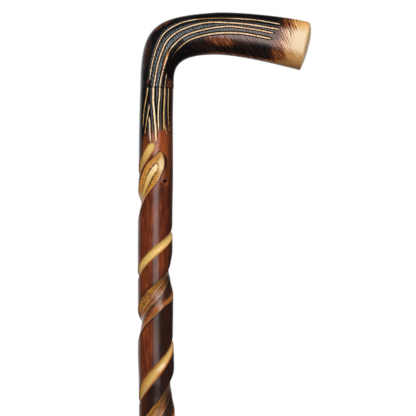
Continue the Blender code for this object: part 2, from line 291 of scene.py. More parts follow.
def on_shaft(heights, degrees, radii):
    """Points at a height, a turn from the front and a distance from the shaft's middle."""
    bow = smooth_curve(SHAFT_BOW, heights)
    angles = np.radians(degrees)
    return np.stack([bow + radii * np.sin(angles), -radii * np.cos(angles), heights], axis=1)


def neck_lines():
    """Points and widths along each line on the neck, on the near side and turned to the far one."""
    lines = []
    for width, knots in NECK_LINES:
        top, foot = knots[0][0], knots[-1][0]
        heights = np.arange(top, foot, -LINE_STEP)
        degrees = smooth_curve(knots, heights)
        radii = smooth_curve(SHAFT_RADII, heights)
        widths = width * run_out(len(heights), LINE_RUN_OUT if top < shaft_top else 0)
        lines.append((on_shaft(heights, degrees, radii), widths))
        lines.append((on_shaft(heights, 180 + FAR_SIDE_TURN - degrees, radii), widths))
    return lines


def hollow_distance(degrees, edges, ends, heights, radii):
    """How far inside a hollow each point is, in millimetres across it; less than none outside.
    A hollow slants, so it is narrower straight across than level round the shaft."""
    slant = 0.73
    upper, lower = edges
    foot, top = ends
    along = (degrees - upper) % 360
    inside = np.minimum(along, lower - upper - along)
    outside = np.minimum(along - (lower - upper), 360 - along)
    past_end = np.maximum(0, np.maximum(heights - top, foot - heights))
    away = np.hypot(np.radians(outside) * radii * slant, past_end)
    return np.where(inside > 0, np.radians(inside) * radii * slant, -away)


def across_hollow(degrees, edges, full_degrees):
    """How far across a hollow each point is, as a share of its width from the upper edge, and how
    deep the hollow is there, as a share of its depth where it is full width."""
    upper, lower = edges
    width = np.maximum(lower - upper, 0.01)
    across = ((degrees - upper) % 360) / width
    return across, np.minimum(1, width / full_degrees) ** SHALLOWING_POWER


def build_shaft():
    plain = [shaft_foot, shaft_foot + 0.3, shaft_foot + 1, *np.arange(20, 205, 12)]
    twist = np.arange(206, 770, 1.52)
    eye = np.arange(770.5, NECK_FINE_FROM, 1.1)
    neck = np.linspace(NECK_FINE_FROM, shaft_top - 0.2, 48)
    rows = np.array([*plain, *twist, *eye, *neck, shaft_top, shaft_top, shaft_top - BORE_DEPTH])
    bm = flat_sheet(sum(SHAFT_COLUMNS), len(rows) - 1)
    cut_finer_across(bm, len(plain) + len(twist) + len(eye), NECK_CUTS)
    column, row = sheet_places(bm)
    height = rows[row]

    narrow = hollow_edges(NARROW_UPPER, NARROW_LOWER, NARROW_END, height)
    broad = hollow_edges(BROAD_UPPER, BROAD_LOWER, BROAD_END, height)
    arrises = [smooth_curve([(z, at[i]) for z, at in BROAD_ARRISES], height) for i in range(3)]
    marks = np.concatenate([[0], np.cumsum(SHAFT_COLUMNS)])
    places = []
    for (upper, lower), inner in ((narrow, ()), (broad, arrises)):
        middle = (upper + lower) / 2
        half = np.maximum(lower - upper, SHUT_DEGREES) / 2
        places.append([middle + half * (2 * share - 1) for share in (0, *inner, 1)])
    turns = np.ceil((places[0][-1] - places[1][0]) / 360) * 360
    onto = [*places[0], *(edge + turns for edge in places[1]), places[0][0] + 360]
    degrees = stretched(column, marks, onto)
    means = [(a + b) / 2 * count for a, b, count in zip(onto[:-1], onto[1:], SHAFT_COLUMNS)]
    even = sum(means) / marks[-1] + (column / marks[-1] - 0.5) * 360
    narrow_top, broad_top = NARROW_UPPER[0][0], BROAD_UPPER[0][0]
    up_neck = np.clip((height - narrow_top) / (shaft_top - narrow_top), 0, 1)
    degrees = degrees + (even - degrees) * up_neck

    radius = smooth_curve(SHAFT_RADII, height)
    narrow_in = hollow_distance(degrees, narrow, (NARROW_END[0], narrow_top), height, radius)
    broad_in = hollow_distance(degrees, broad, (BROAD_END[0], broad_top), height, radius)
    across, shallow = across_hollow(degrees, narrow, NARROW_FULL_DEGREES)
    carved = NARROW_DEPTH * shallow * np.interp(across, *np.transpose(NARROW_SHAPE), right=0)
    share, shallow = across_hollow(degrees, broad, BROAD_FULL_DEGREES)
    facet = stretched(np.clip(share, 0, 1), [0, *arrises, 1], [0, 1, 2, 3, 4])
    carved += BROAD_DEPTH * shallow * np.interp(facet, *np.transpose(BROAD_SHAPE))

    surface = on_shaft(height, degrees, radius)
    lined = line_distances(surface, height > NECK_FINE_FROM, neck_lines())
    radius -= carved + line_depth(lined)

    # The foot's and the joint's edges are eased, and the last rows line the dowel's bore
    bore_mouth = len(rows) - 2
    for eased, by in ((0, 0.9), (1, 0.25), (bore_mouth - 1, 0.2)):
        radius -= np.where(row == eased, by, 0)
    radius = np.where(row >= bore_mouth, BORE_RADIUS, radius)
    marks = {"line_distance": lined, "narrow_inside": narrow_in, "broad_inside": broad_in}
    marks |= {"narrow_across": np.clip(across, 0, 1.2), "broad_facet": facet}
    return rolled_up(bm, "carved_shaft", on_shaft(height, degrees, radius), marks)


class Value:
    """What a node puts out. Sums with it add Math nodes to its tree."""

    def __init__(self, socket):
        self.socket = socket
        self.tree = socket.id_data

    def __add__(self, other):
        return sums("ADD", self, other)

    def __sub__(self, other):
        return sums("SUBTRACT", self, other)

    def __mul__(self, other):
        return sums("MULTIPLY", self, other)

    def __truediv__(self, other):
        return sums("DIVIDE", self, other)


def put(socket, value):
    """Joins a node's output to a socket, or sets the socket's own number, vector or colour."""
    if isinstance(value, Value):
        socket.id_data.links.new(value.socket, socket)
    else:
        socket.default_value = (*value, 1) if socket.type == "RGBA" else value


def add(tree, kind, inputs=None, output=0, **settings):
    """Adds a shader node with its settings, and values for its inputs; returns an output."""
    made = tree.nodes.new("ShaderNode" + kind)
    for label, value in settings.items():
        setattr(made, label, value)
    for label, value in (inputs or {}).items():
        put(made.inputs[label], value)
    return Value(made.outputs[output])


def outputs_of(node):
    return {socket.name: Value(socket) for socket in node.outputs}


def sums(operation, *values):
    """A Math node's result for some values, of which one or more are nodes' outputs."""
    tree = next(value.tree for value in values if isinstance(value, Value))
    return add(tree, "Math", dict(enumerate(values)), operation=operation)


def parts(vector):
    """A vector's X, Y and Z."""
    return [add(vector.tree, "SeparateXYZ", {"Vector": vector}, axis) for axis in "XYZ"]


def combined(x, y, z=0):
    """A vector whose X is a node's output."""
    return add(x.tree, "CombineXYZ", {"X": x, "Y": y, "Z": z})


def rising(value, low, high):
    """A mask that rises smoothly from 0 at one value to 1 at another."""
    inputs = {"Value": value, "From Min": low, "From Max": high}
    return add(value.tree, "MapRange", inputs, interpolation_type="SMOOTHSTEP")


def mixed(share, first, second, blend="MIX"):
    """One colour laid over another by a share."""
    inputs = {0: share, 6: first, 7: second}
    return add(share.tree, "Mix", inputs, 2, data_type="RGBA", blend_type=blend)


def ramp(value, stops):
    """Colours along a value from 0 to 1: (place, colour) in order."""
    colour = add(value.tree, "ValToRGB", {"Fac": value})
    elements = colour.socket.node.color_ramp.elements
    while len(elements) < len(stops):
        elements.new(1)
    for element, (place, tint) in zip(elements, stops):
        element.position = place
        element.color = (*tint, 1)
    return colour


def noise(vector, scale, detail=2, roughness=0.5):
    inputs = {"Vector": vector, "Scale": scale, "Detail": detail, "Roughness": roughness}
    return add(vector.tree, "TexNoise", inputs, "Fac")


def turned(vector, scale, degrees=(0, 0, 0)):
    """A pattern's coordinates, turned and stretched over the piece."""
    rotation = [math.radians(angle) for angle in degrees]
    return add(vector.tree, "Mapping", {"Vector": vector, "Rotation": rotation, "Scale": scale})


def spot(place, middle, size, degrees=0):
    """A soft round mask, 1 in the middle and 0 at the edge, in mm, leaning in side view."""
    inputs = {"Vector": place, "Rotation": (0, math.radians(degrees), 0)}
    inputs["Location"] = [value * MM for value in middle]
    inputs["Scale"] = [value * MM for value in size]
    centred = add(place.tree, "Mapping", inputs, vector_type="TEXTURE")
    return add(place.tree, "TexGradient", {"Vector": centred}, "Fac", gradient_type="SPHERICAL")


def new_group(name, amounts, outputs):
    """A node group that takes a vector and some amounts; returns it, what comes in and the
    sockets that lead out."""
    group = bpy.data.node_groups.new(name, "ShaderNodeTree")
    sockets = [("Vector", "INPUT", "Vector")]
    sockets += [(label, "INPUT", "Float") for label in amounts]
    sockets += [(label, "OUTPUT", "Float") for label in outputs]
    for label, way, kind in sockets:
        group.interface.new_socket(name=label, in_out=way, socket_type="NodeSocket" + kind)
    start = group.nodes.new("NodeGroupInput")
    end = group.nodes.new("NodeGroupOutput")
    return group, outputs_of(start), end.inputs


def wood_grain_group():
    """Long fibres and fine open pores, both running along the vector's Z."""
    group, given, results = new_group("wood_grain", ("Fibre Width", "Stretch"), ("Fibre", "Pore"))
    across = sums("DIVIDE", 1, given["Fibre Width"])
    scale = combined(across, across, across / given["Stretch"])
    fibres = add(group, "VectorMath", {0: given["Vector"], 1: scale}, operation="MULTIPLY")
    put(results["Fibre"], noise(fibres, 1, 4, 0.6))
    put(results["Pore"], rising(noise(fibres, 3.1, 1), 0.62, 0.75))
    return group


def scorch_stripes_group():
    """Fine slanting strokes that a flame leaves as it is drawn across the wood: a fairly regular
    stripe, and broader uneven streaks along it."""
    amounts = ("Period", "Raggedness")
    group, given, results = new_group("scorch_stripes", amounts, ("Stripe", "Streak"))
    slanted = turned(given["Vector"], (1, 1, 1), (0, 28, 0))
    x, y, z = parts(slanted)
    across = x / given["Period"]
    ragged = noise(turned(slanted, (1, 1, 0.4)), 300, 3, 0.6) - 0.5
    phase = (across + ragged * given["Raggedness"]) * (2 * math.pi)
    put(results["Stripe"], sums("SINE", phase) * 0.5 + 0.5)
    put(results["Streak"], noise(combined(across, y * 120, z * 75), 0.75, 3, 0.65))
    return group


def lacquer_group():
    """Unevenness of brushed lacquer: a slow wave in its surface, and duller and glossier spots."""
    amounts = ("Gloss Roughness", "Unevenness")
    group, given, results = new_group("lacquer", amounts, ("Roughness", "Height"))
    slow = noise(turned(given["Vector"], (1, 1, 0.35)), 140)
    fine = noise(given["Vector"], 900, 3, 0.6)
    put(results["Height"], fine * 0.15 + slow)
    put(results["Roughness"], given["Gloss Roughness"] + (slow - 0.45) * given["Unevenness"])
    return group


def placed(group, vector, amounts):
    """A node group laid over a piece, with its own amounts: its outputs by name."""
    inputs = {"Vector": vector, **amounts}
    return outputs_of(add(vector.tree, "Group", inputs, node_tree=group).socket.node)


def attribute(place, label):
    """A value that a piece's own points carry."""
    return add(place.tree, "Attribute", output="Fac", attribute_name=label)


def new_material(name, **constants):
    """A Principled material, its shader's inputs and its Object coordinates."""
    material = bpy.data.materials.new(name)
    material.use_nodes = True
    shader = material.node_tree.nodes["Principled BSDF"].inputs
    for label, value in constants.items():
        put(shader[label.replace("_", " ")], value)
    return material, shader, add(material.node_tree, "TexCoord", output="Object")


def bumped(shader, height, depth):
    """Raises a material's surface by a height from 0 to 1, times a depth in millimetres."""
    inputs = {"Height": height, "Distance": depth * MM}
    put(shader["Normal"], add(height.tree, "Bump", inputs))


wood_grain = wood_grain_group()
scorch_stripes = scorch_stripes_group()
lacquer = lacquer_group()

CHARRED = (0.004, 0.0035, 0.0035)
AMBER_CUT = (0.62, 0.27, 0.08)
SINGED = (0.03, 0.008, 0.006)


def cut_lines_over(colour, place, strokes, pale, flank):
    """Lays the carved lines' bare wood over a colour, crossed by strokes and with singed sides;
    returns the colour and a mask of the singed sides."""
    wander = noise(place, 420, 4, 0.65) - 0.5
    away = wander * 0.4 + attribute(place, "line_distance")
    singed = rising(away, 1.4, 1.1)
    colour = mixed(singed, colour, flank)
    along = noise(place, 150) * 1.6 - 0.5
    bright = rising(strokes * 0.65 + along, 0, 0.6) * rising(away, 0.52, 0.26)
    tint = mixed(bright, AMBER_CUT, pale)
    return mixed(rising(away, 0.54, 0.4), colour, tint), singed


def shaft_skin(place, fibre, below_band):
    """The stained skin between the hollows, darker on the right and scorched up the neck."""
    x, _, z = parts(place)
    blotch = noise(turned(place, (1, 1, 0.4)), 150, 4, 0.65)
    depth = fibre * 0.55 + blotch * 0.45
    depth += rising(z, 0.795, 0.808) * 0.06
    depth += rising(z, 0.778, 0.798) * rising(x, -0.002, 0.004) * 0.09
    depth += rising(z, 0.68, 0.66) * rising(x, 0, -0.005) * 0.04
    depth -= rising(z, 0.656, 0.642) * 0.09
    skin = ramp(depth, (
        (0.36, (0.052, 0.01, 0.006)), (0.46, (0.12, 0.022, 0.007)),
        (0.54, (0.19, 0.035, 0.008)), (0.66, (0.36, 0.077, 0.015)),
    ))
    # The skin is darker on the right, more so low down and under the lowest band.
    low = rising(z, 0.72, 0.695)
    start = low * -0.011 - below_band * 0.009 + 0.009
    darker_right = rising(blotch * 0.006 + x, start, start + low * 0.005 + 0.005)
    fading = rising(fibre, 0.5, 0.7) * -0.14 + 0.7
    skin = mixed(darker_right * (low * 0.22 + fading), skin, (0.018, 0.008, 0.006))
    under = rising(z, 0.808, 0.814) * rising(x, 0.002, -0.004)
    skin = mixed(under * 0.5, skin, (0.08, 0.014, 0.007))
    left = rising(x, -0.008, -0.0112)
    # Painted shade: the skin darkens towards its left edge below the neck.
    skin = mixed(left * rising(z, 0.785, 0.8) * 0.85, skin, (0.022, 0.01, 0.008))

    scorch_edge = blotch * 0.012 + z + fibre * 0.01 - x * 0.23 + left * 0.0035
    neck = mixed(rising(fibre, 0.5, 0.8), CHARRED, (0.03, 0.016, 0.012))
    browned = rising(scorch_edge, 0.85, 0.833) * rising(x, -0.006, -0.003)
    neck = mixed(browned, neck, (0.08, 0.026, 0.02))
    neck = mixed(rising(x, 0.0108, 0.0122), neck, (0.12, 0.035, 0.018))
    skin = mixed(rising(scorch_edge, 0.83, 0.837), skin, neck)
    # Painted shade: a dark patch beside the eye's right edge.
    painted_shade_by_eye = rising(spot(place, (7.4, -10.5, 799), (1.8, 8, 7)), 0.05, 0.45)
    skin = mixed(painted_shade_by_eye, skin, (0.04, 0.01, 0.007))
    # Painted sheen: the skin is painted lighter in two spots, at the neck's foot and right of the
    # eye, where the soft box's reflection lies.
    for middle, size in (((-1, -13, 813), (4, 9, 10)), ((4.6, -12, 789), (3, 8, 7))):
        painted_sheen = rising(spot(place, middle, size), 0, 0.5)
        skin = mixed(painted_sheen * 0.3, skin, (0.55, 0.25, 0.16))

    uneven = noise(place, 700) * 0.8 - 0.4
    knot_edge = spot(place, (8.5, -10, 782.6), (1.5, 5, 2.8), 15) + uneven
    skin = mixed(rising(knot_edge, 0.2, 0.5), skin, (0.26, 0.06, 0.015))
    knot = spot(place, (7.2, -11, 784.4), (2.2, 5, 1.7), 20) + uneven
    return mixed(rising(knot, 0.15, 0.5), skin, (0.006, 0.005, 0.005))


def gouged_wood(place, ticks):
    """The narrow hollow's wood, from its upper edge across to its lower one."""
    z = parts(place)[2]
    cross_cut = noise(turned(place, (500, 500, 900), (0, -30, 0)), 1, 3, 0.6)
    across = cross_cut * 0.3 + attribute(place, "narrow_across")
    gouged = ramp(across - 0.15, (
        (0, (0.42, 0.17, 0.028)), (0.18, (0.56, 0.29, 0.05)), (0.45, (0.7, 0.43, 0.11)),
        (0.72, (0.8, 0.55, 0.2)), (0.88, (0.74, 0.4, 0.11)), (1, (0.62, 0.22, 0.06)),
    ))
    # The hollow's wood is lighter in two bands of height.
    lighter_bands = rising(z, 0.69, 0.715) * rising(z, 0.775, 0.76)
    lighter_bands = sums("MAXIMUM", lighter_bands, rising(z, 0.8, 0.81))
    gouged = mixed(lighter_bands * 0.4, gouged, (1, 0.73, 0.24))
    # Painted highlight: a cream glint laid on the hollow low on the shaft.
    painted_glint = rising(spot(place, (4.6, -12, 642.5), (2.2, 9, 5.5), 40), 0, 0.6)
    gouged = mixed(painted_glint * 0.45, gouged, (1, 0.85, 0.58))
    return mixed(ticks * 0.2, gouged, (0.42, 0.2, 0.035))


def facets_below_eye(place, facet, strokes, ticks):
    """The broad hollow's four facets, counted from its upper edge, with burnt marks, darker towards
    the right.
    """
    x = parts(place)[0]
    # Painted highlight and shadow: the bright stops at the first two arrises are painted
    # highlights, and the dark stop just past the second arris is painted shadow.
    lower = ramp(facet / 4, (
        (0, (0.1, 0.03, 0.01)), (0.02, (0.5, 0.23, 0.03)), (0.235, (0.38, 0.14, 0.02)),
        (0.252, (0.92, 0.58, 0.2)), (0.275, (0.36, 0.12, 0.022)), (0.42, (0.34, 0.11, 0.03)),
        (0.49, (0.72, 0.36, 0.13)), (0.515, (0.035, 0.011, 0.007)), (0.58, (0.11, 0.028, 0.012)),
        (0.66, (0.17, 0.042, 0.015)), (0.76, (0.36, 0.1, 0.022)), (0.95, (0.46, 0.14, 0.03)),
        (1, (0.7, 0.33, 0.12)),
    ))
    lower = mixed(rising(strokes, 0.5, 0.62), lower, (0.09, 0.024, 0.01))
    ticked = ticks * (rising(facet, 1.1, 0.9) * 0.45 + 0.15)
    lower = mixed(ticked, lower, (0.11, 0.035, 0.009))
    lower = mixed(rising(strokes, 0.42, 0.3) * 0.5, lower, (0.66, 0.34, 0.08))
    # The facets are darker towards the right.
    before_last = rising(x * -100 + facet, 2.55, 2.2)
    dark_right_facets = rising(facet, 0.7, 1.4) * before_last * rising(x, 0.0045, 0.0085)
    lower = mixed(dark_right_facets * 0.88, lower, (0.02, 0.011, 0.009))
    far_end = rising(facet, 1.3, 1) * rising(x, 0, 0.008)
    lower = mixed(far_end * 0.85, lower, (0.08, 0.028, 0.011))
    # Painted sheen: three spots on the facets are painted pale mauve where the soft box's
    # reflection lies.
    for height, share in ((699, 0.4), (690.5, 0.3), (608, 0.25)):
        painted_sheen = rising(spot(place, (2.6, -10, height), (4.5, 6, 4)), 0, 0.5)
        lower = mixed(painted_sheen * share, lower, (0.48, 0.3, 0.24))
    return lower


def facets_of_eye(place, facet, strokes):
    """The eye at the broad hollow's top: a pale lens in a ring, with burnt lines between them."""
    z = parts(place)[2]
    ring = mixed(strokes, (0.78, 0.38, 0.065), (0.55, 0.21, 0.03))
    # Painted shade: the ring is painted a duller gold towards its top, against the light its facets
    # catch.
    ring = mixed(rising(z, 0.799, 0.805), ring, (0.57, 0.3, 0.055))
    flecks = rising(noise(place, 950, 1), 0.55, 0.62)
    ring = mixed(flecks * 0.7, ring, (0.24, 0.07, 0.015))
    # Painted highlight: the ring's right side is painted pale cream.
    sheen_and_dulling = rising(spot(place, (4.4, -12, 797.2), (3.4, 9, 7.4), 8), 0, 0.7)
    ring = mixed(sheen_and_dulling, ring, (0.8, 0.56, 0.27))
    lens = mixed(rising(z, 0.778, 0.797), (0.84, 0.5, 0.12), (1, 0.76, 0.35))
    scratches = noise(turned(place, (900, 900, 260), (0, 40, 0)), 1)
    lens = mixed(rising(scratches, 0.52, 0.62) * 0.5, lens, (0.6, 0.33, 0.08))
    on_lens = rising(facet, 0.96, 1.06) * rising(facet, 2.1, 2) * rising(z, 0.7985, 0.7965)
    ring = mixed(on_lens, ring, lens)
    dashes = rising(noise(place, 900, 1), 0.38, 0.48)
    dashes = sums("MAXIMUM", dashes, rising(z, 0.787, 0.78))
    first_line = rising(sums("ABSOLUTE", facet - 0.94), 0.22, 0.1)
    first_line *= rising(z, 0.782, 0.79) * 0.6 + 0.4
    second_line = rising(facet, 1.86, 1.98) * rising(facet, 3.32, 3.08)
    second_line *= rising(z, 0.793, 0.789) * 0.75 + 0.25
    burnt = sums("MAXIMUM", first_line, second_line) * dashes * rising(z, 0.7995, 0.7975)
    return mixed(burnt, ring, (0.05, 0.012, 0.006))


def stained_wood():
    material, shader, place = new_material(
        "stained_wood", Coat_Roughness=0.23, Coat_IOR=1.5, Specular_IOR_Level=0.05
    )
    x, _, z = parts(place)
    fibre = placed(wood_grain, place, {"Fibre Width": 0.001, "Stretch": 14})["Fibre"]
    facet = attribute(place, "broad_facet")
    strokes = noise(combined(facet * 4.5, z * 70), 1, 4, 0.65)
    ticks = rising(noise(combined((x + z) * 900, facet), 1), 0.49, 0.61)
    below_band = rising(x * -1.5 + z, 0.64, 0.63)
    skin = shaft_skin(place, fibre, below_band)
    lower = facets_below_eye(place, facet, strokes, ticks)
    facets = mixed(rising(z, 0.762, 0.77), lower, facets_of_eye(place, facet, strokes))

    golden = rising(sums("ABSOLUTE", x + 0.0005), 0.0045, 0.0065)
    pale = mixed(golden, (1, 0.84, 0.55), (0.86, 0.56, 0.22))
    charred_sides = rising(z, 0.814, 0.832)
    sides = mixed(charred_sides, skin, CHARRED)
    colour, singed = cut_lines_over(skin, place, fibre, pale, sides)

    # The hollows' wood over the skin: (attribute, cut wood, how far the singe spreads in mm, and
    # colours of the singe and of the hollow's edge)
    widely = rising(z, 0.76, 0.745) * 0.9 + 0.9
    glow = rising(attribute(place, "narrow_across"), 0.7, 0.9)
    warm_singe = mixed(glow, SINGED, (0.36, 0.1, 0.02))
    warm_edge = mixed(glow, (0.1, 0.028, 0.01), (0.45, 0.15, 0.035))
    for label, cut, spread, singe_tint, edge_tint in (
        ("broad_inside", facets, widely, SINGED, (0.1, 0.028, 0.01)),
        ("narrow_inside", gouged_wood(place, ticks), 0.9, warm_singe, warm_edge),
    ):
        inside = attribute(place, label)
        colour = mixed(rising(inside / spread, -1.2, -0.3) * 0.88, colour, singe_tint)
        colour = mixed(rising(inside, -0.15, 0.05), colour, edge_tint)
        colour = mixed(rising(inside, 0.05, 0.4), colour, cut)
    put(shader["Base Color"], colour)

    tip = rising(z, 0.797, 0.802) * rising(facet, 0.5, 1)
    tip *= rising(attribute(place, "broad_inside"), 0, 0.4)
    sooted = rising(spot(place, (1, -13, 625), (5, 8, 7)), 0, 0.5)
    coat = below_band * -0.2 + 0.88 - tip * 0.6 - sooted * 0.45
    put(shader["Coat Weight"], coat - singed * charred_sides * 0.6)
    film = placed(lacquer, place, {"Gloss Roughness": 0.35, "Unevenness": 0.2})
    put(shader["Roughness"], film["Roughness"])
    bumped(shader, fibre * 0.35 + film["Height"], 0.08)
    return material


shaft = build_shaft()
shaft.data.materials.append(stained_wood())
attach(shaft, "root")
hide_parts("shaft")

# Handle
# One piece of hardwood, bent in an L and swelling to a blunt domed nose. It is scorched black all
# but the nose, with four long lines and some short ones cut through the char to the bare wood, and
# lacquered. It sits on the shaft over the dowel.
joint_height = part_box("handle")[0].z / MM

# Outlines from the side: Bezier points (x, z) in millimetres from the joint
BACK_OUTLINE = (
    ((-13, 0), (-13, 48.4), (-3.2, 55.3), (44, 57.9)),
    ((44, 57.9), (61, 58.8), (105, 53.6), (117.6, 49.2)),
)
BELLY_OUTLINE = (
    ((12.9, 0), (12.8, 13), (11, 26), (43.5, 26)),
    ((43.5, 26), (61.5, 26), (89, 18.9), (110, 13.3)),
)
HANDLE_ROWS = (106, 82)
HANDLE_COLUMNS = 400
NECK_HALF_WIDTH = 12.9
NOSE_HALF_WIDTH = 15.2
NOSE_SQUARENESS = 2.35
NOSE_DOME = 2.7
NOSE_DOME_LEAN = 0.35
NOSE_DOME_POWER = 2.5
NOSE_RIM_BACK = 1
NOSE_RIM_SHARES = (1, 0.997, 0.991, 0.981)
NOSE_DOME_SHARES = (0.965, 0.93, 0.87, 0.78, 0.66, 0.5, 0.32, 0.14, 0.03)

# Lines cut with a V tool, as the side view shows them: (width, length over which the line thins out
# at its start, then (x, z) in mm from the joint)
HANDLE_LINES = (
    (0.9, 12, (
        (-4.7, 4.2), (-3.8, 10.5), (-2.4, 18), (-0.2, 26.2), (2.7, 34), (6.6, 40.7), (12.8, 45.7),
        (21.5, 49.6), (33, 51.75), (47, 52.05), (62, 51.6), (76, 50.4), (87, 48.4), (95.6, 46.6),
    )),
    (1.1, 0, (
        (-1.3, -1), (0.3, 8.5), (2, 16.9), (4.6, 25.2), (8.1, 33.2), (12.7, 38.5), (19.6, 43),
        (29.7, 46.7), (41, 48.7), (53.6, 48.3), (68, 47.1), (82, 44.8), (95.3, 42.3),
    )),
    (1.05, 0, (
        (3.4, -1), (4.6, 6.4), (6.3, 13.4), (8.4, 20.2), (11.1, 27.2), (16, 33.2), (23.2, 38.6),
        (32, 41.7), (43.8, 44.15), (56.5, 45.2), (69.1, 43.7), (80, 41.7), (90.5, 39.4),
    )),
    (1.2, 34, (
        (12.6, 22.5), (14.2, 25), (18.7, 29.6), (25.2, 34.5), (34.1, 37.7), (44.2, 39.6),
        (54, 40.2), (65, 39.7), (77, 37.6), (88.6, 35),
    )),
    (0.5, 0, ((7.5, -1), (7.9, 3.8), (8.9, 11.6))),
    (0.5, 0, ((9.7, -1), (10, 3))),
)
FAR_SIDE_DROP = 1


def evenly_along(path, count):
    """Points evenly spaced along a path, both ends included."""
    path = np.array(path)
    travelled = np.concatenate([[0], np.cumsum(np.hypot(*np.diff(path, axis=0).T))])
    wanted = np.linspace(0, travelled[-1], count)
    return np.stack([np.interp(wanted, travelled, path[:, i]) for i in (0, 1)], axis=1)


def along_bezier(points, count):
    return evenly_along(interpolate_bezier(*[Vector(point) for point in points], 400), count)


def through(points):
    """Points a small step apart along a smooth line through a few (x, z) knots."""
    knots = [Vector(point) for point in (points[0], *points, points[-1])]
    path = []
    for before, start, stop, after in zip(knots, knots[1:], knots[2:], knots[3:]):
        bends = start + (stop - before) / 6, stop - (after - start) / 6
        path += interpolate_bezier(start, *bends, stop, 24)[:-1]
    path.append(knots[-1])
    length = sum((b - a).length for a, b in zip(path[:-1], path[1:]))
    return evenly_along(path, round(length / LINE_STEP))


def handle_lines(surface):
    """Points and widths along each line on the handle's two sides. Each point of a side view is
    laid on the nearest place of that side's surface."""
    lines = []
    for side in (-1, 1):
        on_side = surface[surface[:, 1] * side > 0]
        tree = search_tree([(x, 0, z) for x, _, z in on_side])
        for width, at_start, knots in HANDLE_LINES:
            flat = through(knots)
            if side > 0:
                flat[:, 1] -= FAR_SIDE_DROP * np.clip(flat[:, 0] / 20, 0, 1)
            depths = [on_side[tree.find((x, 0, z + joint_height))[1]][1] for x, z in flat]
            points = np.stack([flat[:, 0], depths, flat[:, 1] + joint_height], axis=1)
            lines.append((points, width * run_out(len(points), at_start)))
    return lines


def build_handle():
    rungs = []
    for back, belly, count in zip(BACK_OUTLINE, BELLY_OUTLINE, HANDLE_ROWS):
        pairs = list(zip(along_bezier(back, count), along_bezier(belly, count)))
        rungs += pairs if not rungs else pairs[1:]
    back, belly = (np.array(side) for side in zip(*rungs))
    centre = (back + belly) / 2
    half = (back - belly) / 2
    share = np.linspace(0, 1, len(rungs))
    ease = share**2 * (3 - 2 * share)
    half_width = NECK_HALF_WIDTH + (NOSE_HALF_WIDTH - NECK_HALF_WIDTH) * ease
    squareness = 2 + (NOSE_SQUARENESS - 2) * ease

    out = np.array([half[-1][1], -half[-1][0]]) / np.hypot(*half[-1])
    steps = len(NOSE_RIM_SHARES)
    ends = [(-NOSE_RIM_BACK * (1 - i / steps), scale) for i, scale in enumerate(NOSE_RIM_SHARES)]
    ends += [(NOSE_DOME * (1 - scale**NOSE_DOME_POWER), scale) for scale in NOSE_DOME_SHARES]
    tail = []
    for rise, scale in ends:
        leaning = (half[-1] + out * rise * NOSE_DOME_LEAN) * scale
        tail.append((centre[-1] + out * rise, leaning, half_width[-1] * scale))
    bore = [(centre[0] + (0, BORE_DEPTH), BORE_RADIUS), (centre[0], BORE_RADIUS)]
    foot = [*bore, (centre[0], NECK_HALF_WIDTH - 0.2)]
    head = [(middle, np.array((-radius, 0)), radius) for middle, radius in foot]
    body = list(zip(centre, half, half_width))[:-1]
    body[0] = (body[0][0] + (0, 0.2), body[0][1], body[0][2])
    middles, halves, widths = (np.array(column) for column in zip(*head, *body, *tail))
    powers = np.concatenate([[2] * len(head), squareness[:-1], [NOSE_SQUARENESS] * len(tail)])

    bm = flat_sheet(HANDLE_COLUMNS, len(middles) - 1)
    column, row = sheet_places(bm)
    angle = column / HANDLE_COLUMNS * 2 * math.pi
    up = np.copysign(np.abs(np.cos(angle)) ** (2 / powers[row]), np.cos(angle))
    side = np.copysign(np.abs(np.sin(angle)) ** (2 / powers[row]), np.sin(angle))
    x, z = (middles[row] + halves[row] * up[:, None]).T
    points = np.stack([x, widths[row] * side, z + joint_height], axis=1)

    normal = np.stack([halves[row][:, 0] * up, widths[row] * side, halves[row][:, 1] * up], axis=1)
    rise = np.hypot(*halves[row].T)
    reach = np.stack([rise, widths[row], rise], axis=1)
    normal /= reach**2
    normal /= np.linalg.norm(normal, axis=1)[:, None]
    outside = (row >= len(head)) & (row < len(head) + len(body))
    lined = line_distances(points, outside, handle_lines(points[outside]))
    points -= normal * line_depth(lined)[:, None]
    end_face = (row > len(head) + len(body) + steps - 1).astype(float)
    marks = {"line_distance": lined, "up_side": up, "end_face": end_face}
    return rolled_up(bm, "carved_handle", points, marks)


# How far along the nose the char reaches: (share of the way from belly to back, X in metres)
CHAR_EDGE = (
    (0.02, 0.092), (0.1, 0.0975), (0.25, 0.0958), (0.33, 0.093), (0.46, 0.097),
    (0.65, 0.0985), (0.74, 0.1015), (0.82, 0.103), (0.95, 0.102),
)

# Where the char is thin, as the side view shows it: (middle and half size in mm from the joint,
# lean in degrees, how bare the wood is)
THIN_CHAR = (
    ((49.5, 35), (18.5, 5.8), 9, 0.34),
    ((66, 34.3), (24, 3.8), 10, 0.16),
    ((97, 24.5), (13, 8), 12, 0.42),
    ((5, 49), (36, 3.4), -33, 0.27),
    ((-8, 32), (6, 26), 6, 0.19),
    ((10.8, 2), (3, 6), 0, 0.25),
    ((22, 56), (18, 2.8), -12, 0.28),
    ((-6, 3.5), (1.1, 3.2), 0, 0.3),
    ((62, 28), (50, 9), 8, 0.07),
)
PALE_CUT = (1, 0.8, 0.54)
RIGHT_THROUGH = 9999


def side_spot(place, middle, size, degrees=0):
    """A soft spot in side view, in millimetres from the joint, that runs through the handle."""
    (x, z), (width, height) = middle, size
    return spot(place, (x, 0, z + joint_height), (width, RIGHT_THROUGH, height), degrees)


